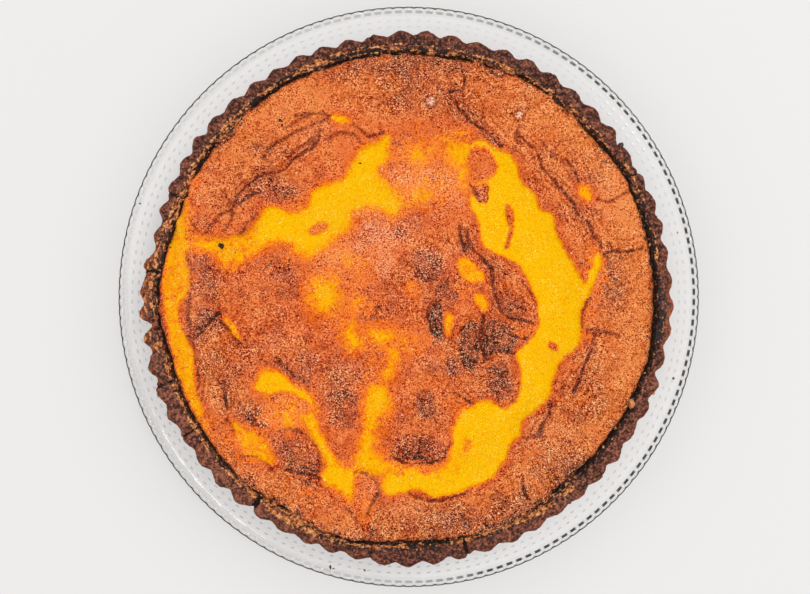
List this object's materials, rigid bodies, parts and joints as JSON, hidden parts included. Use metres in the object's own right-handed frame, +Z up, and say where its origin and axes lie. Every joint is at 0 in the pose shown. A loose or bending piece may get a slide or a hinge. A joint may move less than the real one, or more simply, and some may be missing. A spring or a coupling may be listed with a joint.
{
  "type": "pumpkin pie",
  "caption": "Round baked pumpkin pie in a thin fluted chocolate tart crust, with a blistered brown and yellow top, on a round clear glass plate with a beaded edge.",
  "frame": {"origin": "centre of the plate's foot ring, on the surface the plate stands on", "axes": "+Z up, out of the pie's top; +X and +Y across the pie, with the wide yellow arc of the top on the +X side"},
  "size_m": [0.32, 0.32, 0.0431],
  "materials": {
    "plate_glass": "clear pressed glass, polished, with a row of small beads round the edge",
    "crust": "dry baked chocolate shortcrust, crumbly, darker where it caught",
    "filling": "baked pumpkin custard: matt light brown skin, browned blisters, and yellow custard where the skin tore"
  },
  "bodies": {
    "root": {"plate": "plate_glass", "crust": "crust", "filling": "filling"}
  },
  "joints": []
}
